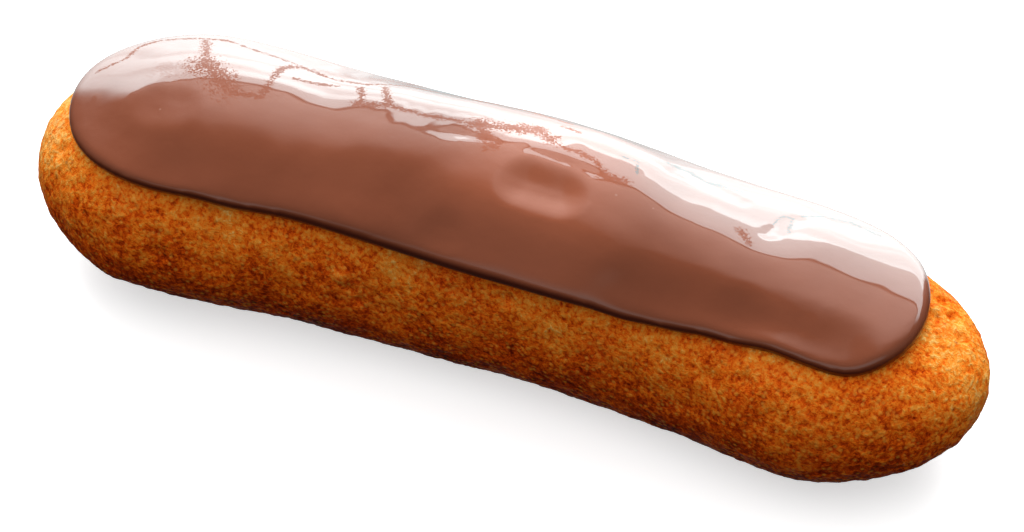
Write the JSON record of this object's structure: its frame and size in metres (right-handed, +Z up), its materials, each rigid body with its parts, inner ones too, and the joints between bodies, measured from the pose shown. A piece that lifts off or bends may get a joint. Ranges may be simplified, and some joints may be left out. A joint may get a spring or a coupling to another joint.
{
  "type": "chocolate eclair",
  "caption": "Long, round-ended choux pastry bun with thick chocolate icing over its top; a cake to be eaten in the hand.",
  "frame": {"origin": "bottom centre of the box that holds the whole eclair", "axes": "+X along the eclair, +Z up from the flat base to the icing, +Y across it"},
  "size_m": [0.14, 0.0392, 0.0332],
  "materials": {
    "choux_crust": "baked choux crust: matt golden brown with fine blisters and cracks, darker towards the base",
    "chocolate": "set milk chocolate icing: smooth, glossy, with faint waves and dents"
  },
  "bodies": {
    "root": {"choux_bun": "choux_crust", "chocolate_icing": "chocolate"}
  },
  "joints": []
}
